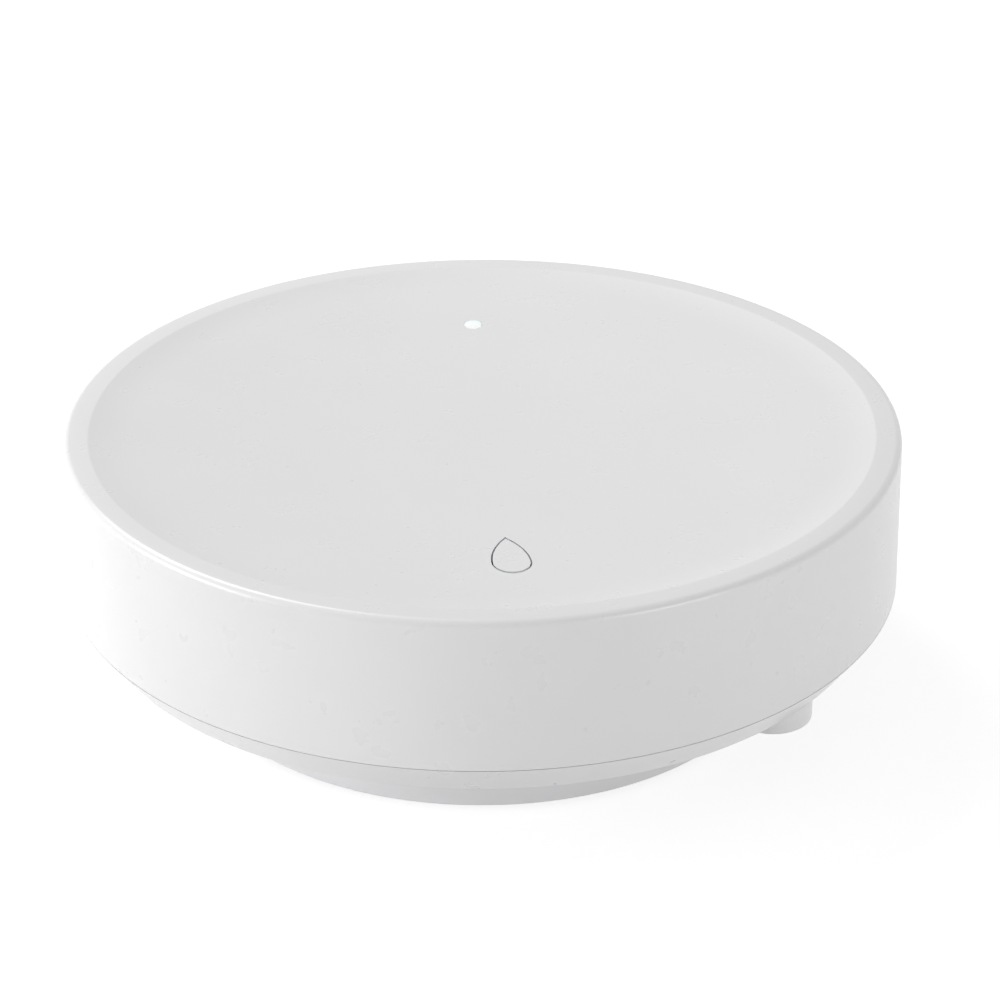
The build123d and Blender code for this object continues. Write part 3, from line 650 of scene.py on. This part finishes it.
class Finish:
    """Node material with a Principled shader, for patterns on Object coordinates."""

    def __init__(self, name, metallic=0.0):
        self.material = bpy.data.materials.new(name)
        self.material.use_nodes = True
        self.tree = self.material.node_tree
        self.shader = self.tree.nodes["Principled BSDF"]
        self.shader.inputs["Metallic"].default_value = metallic
        self.coordinates = self.tree.nodes.new('ShaderNodeTexCoord')

    def link(self, from_socket, to_socket):
        self.tree.links.new(from_socket, to_socket)

    def noise(self, size, detail=3.0, stretch=(1, 1, 1)):
        """Noise whose grain has about a size in metres, stretched along the axes."""
        mapping = self.tree.nodes.new('ShaderNodeMapping')
        mapping.inputs["Scale"].default_value = [share / size for share in stretch]
        self.link(self.coordinates.outputs["Object"], mapping.inputs["Vector"])
        pattern = self.tree.nodes.new('ShaderNodeTexNoise')
        pattern.inputs["Scale"].default_value = 1.0
        pattern.inputs["Detail"].default_value = detail
        self.link(mapping.outputs["Vector"], pattern.inputs["Vector"])
        return pattern.outputs["Fac"]

    def colour(self, pattern, dark, light, low=0.35, high=0.65):
        """Colour between two shades after a pattern."""
        ramp = self.tree.nodes.new('ShaderNodeValToRGB')
        ramp.color_ramp.elements[0].position = low
        ramp.color_ramp.elements[1].position = high
        ramp.color_ramp.elements[0].color = (*dark, 1)
        ramp.color_ramp.elements[1].color = (*light, 1)
        self.link(pattern, ramp.inputs["Fac"])
        self.link(ramp.outputs["Color"], self.shader.inputs["Base Color"])

    def roughness(self, pattern, low, high):
        """Roughness between two values after a pattern."""
        spread = self.tree.nodes.new('ShaderNodeMapRange')
        spread.inputs["From Min"].default_value = 0.3
        spread.inputs["From Max"].default_value = 0.7
        spread.inputs["To Min"].default_value = low
        spread.inputs["To Max"].default_value = high
        self.link(pattern, spread.inputs["Value"])
        self.link(spread.outputs["Result"], self.shader.inputs["Roughness"])

    def bump(self, pattern, height, strength=1.0):
        """Relief of a height in metres after a pattern."""
        relief = self.tree.nodes.new('ShaderNodeBump')
        relief.inputs["Strength"].default_value = strength
        relief.inputs["Distance"].default_value = height
        self.link(pattern, relief.inputs["Height"])
        self.link(relief.outputs["Normal"], self.shader.inputs["Normal"])


def grey(value):
    return (value, value, value)


def moulded_white(name, level, rough_low, rough_high, grain_height):
    """Satin moulded plastic: faint clouding, slightly uneven gloss and a very fine grain."""
    finish = Finish(name)
    white = (level, level, level * white_tint)
    shade = tuple(channel * cloud_share for channel in white)
    finish.colour(finish.noise(14 * mm, 2.0), shade, white)
    finish.roughness(finish.noise(3 * mm), rough_low, rough_high)
    finish.bump(finish.noise(0.22 * mm, 4.0), grain_height, 0.35)
    finish.shader.inputs["IOR"].default_value = 1.5
    return finish.material


def milky_lens():
    """Milky plastic lens with a painted glow: it gives off a faint white light of its own, though no lamp is
    inside it.
    """
    finish = Finish("milky_lens")
    finish.colour(finish.noise(1.2 * mm), (0.90, 0.91, 0.92), (0.97, 0.98, 0.99))
    finish.roughness(finish.noise(0.6 * mm), 0.12, 0.2)
    finish.shader.inputs["Subsurface Weight"].default_value = 0.4
    finish.shader.inputs["Subsurface Scale"].default_value = 0.8 * mm
    # Painted glow: the lens itself gives off faint white light, not lit by any lamp
    finish.shader.inputs["Emission Color"].default_value = (1, 1, 1, 1)
    finish.shader.inputs["Emission Strength"].default_value = 0.12
    return finish.material


def led_resin():
    finish = Finish("led_resin")
    finish.colour(finish.noise(0.5 * mm), (0.86, 0.80, 0.52), (0.94, 0.91, 0.74))
    finish.roughness(finish.noise(0.4 * mm), 0.18, 0.3)
    return finish.material


def rubber(name, dark, light, rough_low, rough_high):
    """Moulded rubber: dusty clouding over a fine leathery grain."""
    finish = Finish(name)
    finish.colour(finish.noise(2.5 * mm, 6.0), dark, light)
    finish.roughness(finish.noise(1.5 * mm), rough_low, rough_high)
    finish.bump(finish.noise(0.12 * mm, 5.0), 0.02 * mm, 0.6)
    return finish.material


def plated_steel(name, dark, light, stretch, rough_low, rough_high):
    """Plated metal with rolling or turning marks along one direction."""
    finish = Finish(name, metallic=1.0)
    marks = finish.noise(0.25 * mm, 5.0, stretch)
    finish.colour(finish.noise(2.0 * mm), dark, light)
    finish.roughness(marks, rough_low, rough_high)
    finish.bump(marks, 0.006 * mm, 0.5)
    return finish.material


def solder_mask(name, dark, light):
    """Circuit board: solder mask over copper runs, with the weave of the glass cloth under it."""
    finish = Finish(name)
    runs = finish.tree.nodes.new('ShaderNodeTexBrick')
    runs.inputs["Scale"].default_value = 1 / (6 * mm)
    runs.inputs["Mortar Size"].default_value = 0.04
    runs.inputs["Color1"].default_value = (*dark, 1)
    runs.inputs["Color2"].default_value = (*light, 1)
    runs.inputs["Mortar"].default_value = (*[channel * 1.7 for channel in light], 1)
    finish.link(finish.coordinates.outputs["Object"], runs.inputs["Vector"])
    finish.link(runs.outputs["Color"], finish.shader.inputs["Base Color"])
    weave = finish.tree.nodes.new('ShaderNodeTexWave')
    weave.inputs["Scale"].default_value = 1 / (1.2 * mm)
    finish.link(finish.coordinates.outputs["Object"], weave.inputs["Vector"])
    finish.roughness(weave.outputs["Fac"], 0.28, 0.42)
    finish.bump(weave.outputs["Fac"], 0.01 * mm, 0.3)
    return finish.material


def black_plastic(name, level, grain, rough_low, rough_high):
    """Black moulded plastic with a spark-eroded grain."""
    finish = Finish(name)
    finish.colour(finish.noise(5 * mm), grey(level * 0.8), grey(level * 1.25))
    finish.roughness(finish.noise(1.0 * mm), rough_low, rough_high)
    finish.bump(finish.noise(grain, 6.0), 0.03 * mm, 0.7)
    return finish.material


def cell_sleeve():
    """Plain shrink sleeve over the cell's can, with faint lengthwise draw lines."""
    finish = Finish("cell_sleeve")
    finish.colour(finish.noise(6 * mm), (0.10, 0.22, 0.36), (0.14, 0.28, 0.44))
    finish.roughness(finish.noise(0.4 * mm, 3.0, (0.08, 1, 1)), 0.25, 0.4)
    finish.bump(finish.noise(0.5 * mm, 2.0, (0.05, 1, 1)), 0.01 * mm, 0.4)
    return finish.material


def dark_resin():
    finish = Finish("dark_resin")
    finish.colour(finish.noise(0.8 * mm), grey(0.02), grey(0.05))
    finish.roughness(finish.noise(0.5 * mm), 0.15, 0.3)
    finish.bump(finish.noise(0.9 * mm), 0.02 * mm, 0.3)
    return finish.material


finishes = {
    "housing_white": moulded_white("housing_plastic", housing_level, 0.27, 0.30, white_grain),
    "base_white": moulded_white("base_plastic", housing_level, 0.28, 0.32, white_grain),
    "button_white": moulded_white("button_plastic", housing_level, 0.26, 0.29, white_grain),
    "inner_white": moulded_white("guide_plastic", 0.72, 0.45, 0.55, 0.01 * mm),
    "lens_clear": milky_lens(),
    "led_white": led_resin(),
    "seal_rubber": rubber("seal_silicone", grey(0.018), grey(0.035), 0.5, 0.65),
    "pad_rubber": rubber("pad_silicone", grey(0.30), grey(0.36), 0.6, 0.8),
    "screw_steel": plated_steel("plated_screw", grey(0.50), grey(0.60), (1, 1, 0.2), 0.25, 0.4),
    "spring_steel": plated_steel(
        "plated_sheet", (0.62, 0.60, 0.56), (0.70, 0.69, 0.65), (1, 0.1, 1), 0.2, 0.35
    ),
    "shield_steel": plated_steel("tinned_sheet", grey(0.60), grey(0.68), (0.1, 1, 1), 0.3, 0.45),
    "contact_gold": plated_steel(
        "gold_plating", (0.78, 0.56, 0.22), (0.88, 0.68, 0.32), (1, 1, 0.3), 0.18, 0.3
    ),
    "board_green": solder_mask("board_mask", (0.012, 0.11, 0.045), (0.018, 0.14, 0.06)),
    "module_blue": solder_mask("module_mask", (0.012, 0.03, 0.10), (0.016, 0.04, 0.13)),
    "tray_black": black_plastic("tray_plastic", 0.035, 0.3 * mm, 0.5, 0.65),
    "switch_black": black_plastic("switch_plastic", 0.03, 0.2 * mm, 0.35, 0.5),
    "sounder_black": black_plastic("sounder_plastic", 0.022, 0.15 * mm, 0.4, 0.5),
    "cell_can": cell_sleeve(),
    "capacitor_can": plated_steel("drawn_can", grey(0.68), grey(0.76), (1, 1, 0.1), 0.15, 0.28),
    "probe_resin": dark_resin(),
}


def dress_cad_nodes():
    """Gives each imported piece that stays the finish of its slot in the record."""
    for subpart in frame["record"]["subparts"]:
        node = frame["nodes"][subpart["node"]]
        node.data.materials.clear()
        node.data.materials.append(finishes[subpart["material_slot"]])


def seen_background(tree, out_socket, plain, seen):
    """Shows one shader to camera, glossy and transmission rays and another to the rest."""
    path = tree.nodes.new('ShaderNodeLightPath')
    either = path.outputs["Is Camera Ray"]
    for name in ("Is Glossy Ray", "Is Transmission Ray"):
        most = tree.nodes.new('ShaderNodeMath')
        most.operation = 'MAXIMUM'
        tree.links.new(either, most.inputs[0])
        tree.links.new(path.outputs[name], most.inputs[1])
        either = most.outputs["Value"]
    mix = tree.nodes.new('ShaderNodeMixShader')
    tree.links.new(either, mix.inputs["Fac"])
    tree.links.new(plain, mix.inputs[1])
    tree.links.new(seen, mix.inputs[2])
    tree.links.new(mix.outputs["Shader"], out_socket)


def floor():
    """Wide pale floor that looks white and still keeps the object's soft shadow."""
    deselect()
    bpy.ops.mesh.primitive_plane_add(size=floor_size)
    ground = bpy.context.object
    ground.name = "floor"
    material = bpy.data.materials.new("floor_paper")
    material.use_nodes = True
    tree = material.node_tree
    tree.nodes.remove(tree.nodes["Principled BSDF"])
    out = tree.nodes["Material Output"].inputs["Surface"]
    plain = tree.nodes.new('ShaderNodeBsdfDiffuse')
    plain.inputs["Color"].default_value = (*grey(floor_level), 1)
    shaded = tree.nodes.new('ShaderNodeBsdfDiffuse')
    shaded.inputs["Color"].default_value = (*grey(floor_shade_level), 1)
    glow = tree.nodes.new('ShaderNodeEmission')
    glow.inputs["Strength"].default_value = floor_glow
    both = tree.nodes.new('ShaderNodeAddShader')
    tree.links.new(shaded.outputs["BSDF"], both.inputs[0])
    tree.links.new(glow.outputs["Emission"], both.inputs[1])
    seen_background(tree, out, plain.outputs["BSDF"], both.outputs["Shader"])
    ground.data.materials.append(material)


def room_light():
    """Faint even light from all round, white where it is seen."""
    world = bpy.data.worlds.new("studio")
    bpy.context.scene.world = world
    world.use_nodes = True
    tree = world.node_tree
    plain = tree.nodes["Background"]
    plain.inputs["Color"].default_value = (1, 1, 1, 1)
    plain.inputs["Strength"].default_value = world_strength
    seen = tree.nodes.new('ShaderNodeBackground')
    seen.inputs["Color"].default_value = (1, 1, 1, 1)
    out = tree.nodes["World Output"].inputs["Surface"]
    seen_background(tree, out, plain.outputs["Background"], seen.outputs["Background"])


def softbox(name, azimuth, elevation, width, height, power):
    """Soft flat lamp that faces the object, at a bearing and a height angle seen from it."""
    light = bpy.data.lights.new(name, 'AREA')
    light.shape = 'RECTANGLE'
    light.size = width
    light.size_y = height
    light.energy = power
    lamp = bpy.data.objects.new(name, light)
    bpy.context.scene.collection.objects.link(lamp)
    rise = math.radians(elevation)
    reach = lamp_distance * math.cos(rise)
    target = Vector((0, 0, body_height / 2))
    lamp.location = target + Vector((*on_circle(reach, azimuth), lamp_distance * math.sin(rise)))
    lamp.rotation_euler = (target - lamp.location).to_track_quat('-Z', 'Y').to_euler()


def camera():
    """Camera in front and a little to the left, looking down on the dish."""
    data = bpy.data.cameras.new("camera")
    data.sensor_width = sensor_width
    data.lens = focal_length
    data.clip_start = nearest_seen
    lens_stand = Matrix.Translation((camera_side, camera_back, camera_rise + body_height))
    turn = Matrix.Rotation(math.radians(camera_turn), 4, 'Z')
    tilt = Matrix.Rotation(math.radians(camera_tilt), 4, 'X')
    roll = Matrix.Rotation(math.radians(camera_roll), 4, 'Z')
    stand = bpy.data.objects.new("camera", data)
    bpy.context.scene.collection.objects.link(stand)
    stand.matrix_world = lens_stand @ turn @ tilt @ roll
    bpy.context.scene.camera = stand


dress_cad_nodes()
top_shell()
lower_shell()
base_cover()
drop_button()
lens()
floor()
room_light()
softbox("left_softbox", azimuth=187, elevation=11, width=0.36, height=0.24, power=2.55)
softbox("back_softbox", azimuth=125, elevation=53, width=0.32, height=0.32, power=2.05)
softbox("front_softbox", azimuth=312, elevation=14, width=0.36, height=0.26, power=1.25)
camera()
bpy.context.scene.view_settings.view_transform = 'Standard'
